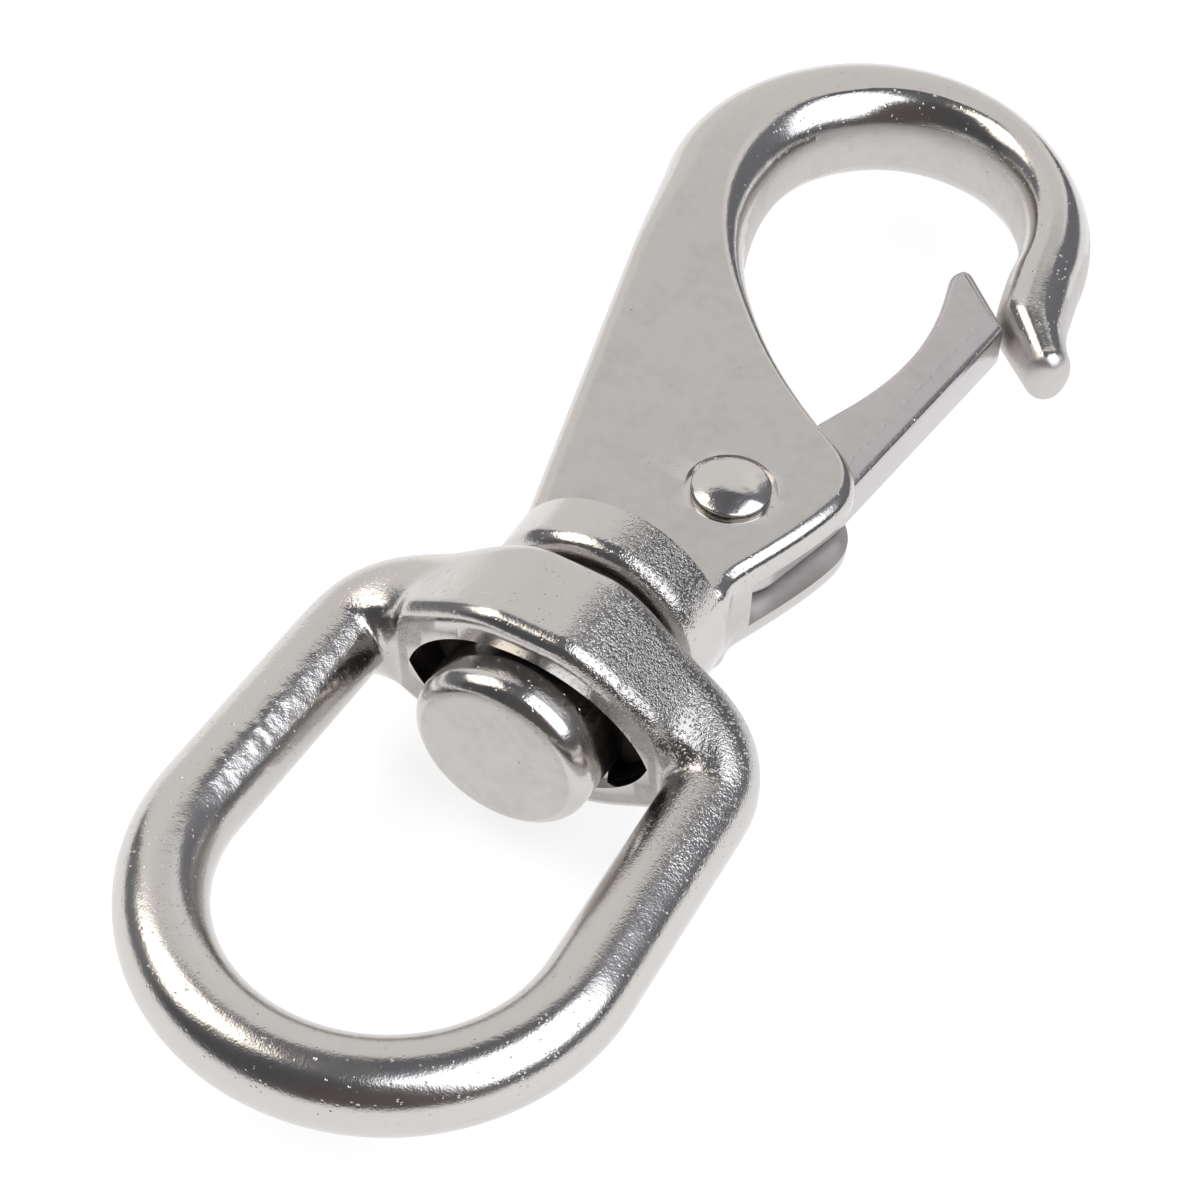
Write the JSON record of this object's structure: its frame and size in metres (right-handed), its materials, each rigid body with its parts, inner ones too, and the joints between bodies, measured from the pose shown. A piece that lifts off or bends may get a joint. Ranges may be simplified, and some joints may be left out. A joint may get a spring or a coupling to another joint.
{
  "type": "swivel snap hook",
  "caption": "Cast swivel snap hook: a round-ended eye whose boss turns on the hook's button stem, and a sprung gate on a rivet between the cheeks.",
  "frame": {"origin": "under the middle of the part, at the height of the boss's lowest point, on the swivel axis", "axes": "+Y along the swivel axis from the eye to the hook, +X towards the gate, +Z through the thickness"},
  "size_m": [0.0307, 0.0918, 0.0164],
  "materials": {
    "cast_steel": "tumbled and polished cast stainless steel",
    "rivet_steel": "polished stainless steel",
    "spring_steel": "drawn stainless wire"
  },
  "bodies": {
    "hook": {"hook_body": "cast_steel", "gate_rivet": "rivet_steel", "gate_spring": "spring_steel"},
    "eye": {"swivel_eye": "cast_steel"},
    "gate": {"gate": "cast_steel"}
  },
  "joints": [
    {"name": "eye_swivel", "type": "hinge", "parent": "hook", "child": "eye", "pos_m": [0, -0.01259, 0.0082], "axis": [0, 1, 0], "continuous": true},
    {"name": "gate_hinge", "type": "hinge", "parent": "hook", "child": "gate", "pos_m": [0.0031, 0.00336, 0.0082], "axis": [0, 0, 1], "range_deg": [0, 28], "stiffness_Nm_per_rad": 0.04, "springref_deg": -28.65, "deforming": ["gate_spring"]}
  ]
}
